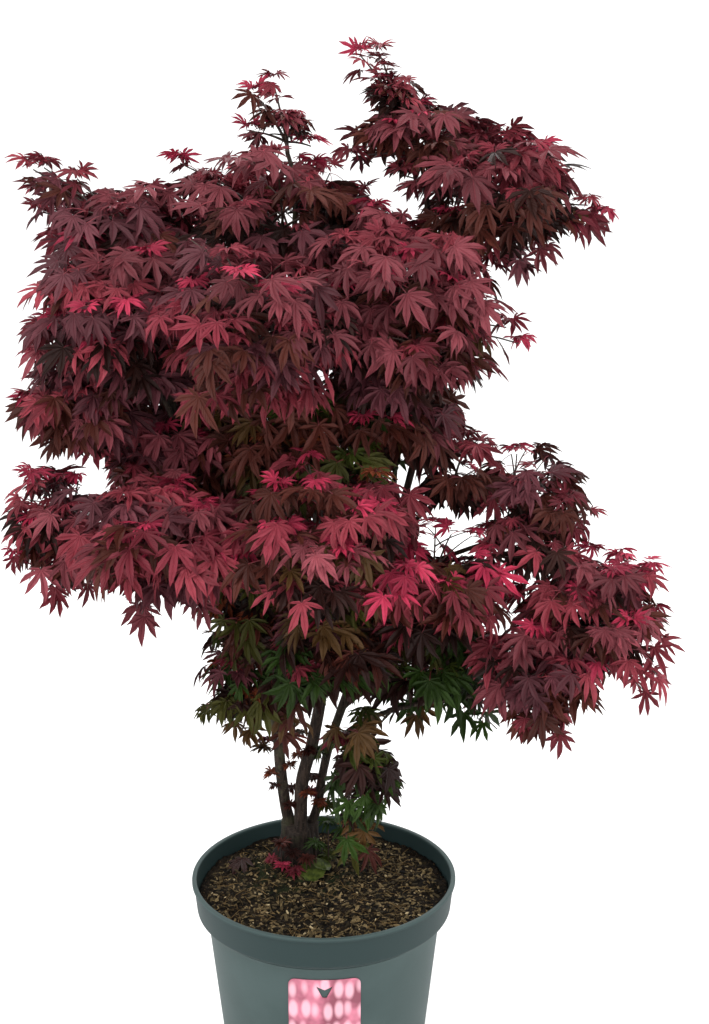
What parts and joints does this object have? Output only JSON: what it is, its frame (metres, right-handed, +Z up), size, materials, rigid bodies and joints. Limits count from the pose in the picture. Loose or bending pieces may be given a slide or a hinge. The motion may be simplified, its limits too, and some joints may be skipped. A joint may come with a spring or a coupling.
{
  "type": "potted japanese maple",
  "caption": "Young multi-stemmed palm-leaved maple with layered dark red foliage, standing in a round tapered nursery pot filled with bark-topped soil.",
  "frame": {"origin": "centre of the pot's flat underside", "axes": "+Z up the plant; the label on the pot faces -Y; the long lower boughs reach towards +X"},
  "size_m": [0.7905, 0.5465, 1.2971],
  "materials": {
    "pot_plastic": "satin moulded plastic",
    "soil_bark": "rough bark chips and coir",
    "label_card": "printed plastic card",
    "stem_bark": "smooth young bark",
    "leaf_plum": "thin leaf",
    "leaf_rose": "thin leaf",
    "leaf_bronze": "thin leaf",
    "leaf_green": "thin leaf"
  },
  "bodies": {
    "root": {"pot": "pot_plastic", "soil": "soil_bark", "label": "label_card", "trunk_foot": "stem_bark", "left_stem": "stem_bark", "middle_stem": "stem_bark", "right_stem": "stem_bark", "bough_leader_shoot": "stem_bark", "bough_upper_crest": "stem_bark", "bough_centre_shoot": "stem_bark", "bough_mid_left": "stem_bark", "bough_mid_centre": "stem_bark", "bough_mid_right": "stem_bark", "bough_left_lap": "stem_bark", "bough_shoulder_link": "stem_bark", "bough_right_arm_upper": "stem_bark", "bough_right_arm": "stem_bark", "bough_right_arm_low": "stem_bark", "bough_elbow": "stem_bark", "bough_left_arm": "stem_bark", "bough_lower_left": "stem_bark", "bough_lower_centre": "stem_bark", "bough_under_right": "stem_bark", "bough_under_centre": "stem_bark", "bough_foot_shoot": "stem_bark", "bough_back_left": "stem_bark", "bough_back_top": "stem_bark", "bough_back_right": "stem_bark", "bough_back_low": "stem_bark", "foliage_leader_shoot": "leaf_plum", "foliage_upper_crest": "leaf_plum", "foliage_upper_right": "leaf_plum", "foliage_centre_shoot": "leaf_plum", "foliage_upper_centre": "leaf_plum", "foliage_upper_left": "leaf_plum", "foliage_mid_left": "leaf_rose", "foliage_mid_centre": "leaf_rose", "foliage_mid_right": "leaf_rose", "foliage_left_lap": "leaf_rose", "foliage_lap_link": "leaf_rose", "foliage_right_shoulder": "leaf_plum", "foliage_shoulder_link": "leaf_plum", "foliage_core": "leaf_bronze", "foliage_right_arm_upper": "leaf_plum", "foliage_right_arm": "leaf_rose", "foliage_right_arm_low": "leaf_rose", "foliage_elbow": "leaf_rose", "foliage_left_arm": "leaf_rose", "foliage_lower_left": "leaf_rose", "foliage_lower_centre": "leaf_rose", "foliage_under_right": "leaf_green", "foliage_under_left": "leaf_bronze", "foliage_under_left_low": "leaf_bronze", "foliage_under_centre": "leaf_bronze", "foliage_foot_shoot": "leaf_green", "foliage_back_left": "leaf_plum", "foliage_back_top": "leaf_plum", "foliage_back_right": "leaf_plum", "foliage_back_low": "leaf_bronze"}
  },
  "joints": []
}
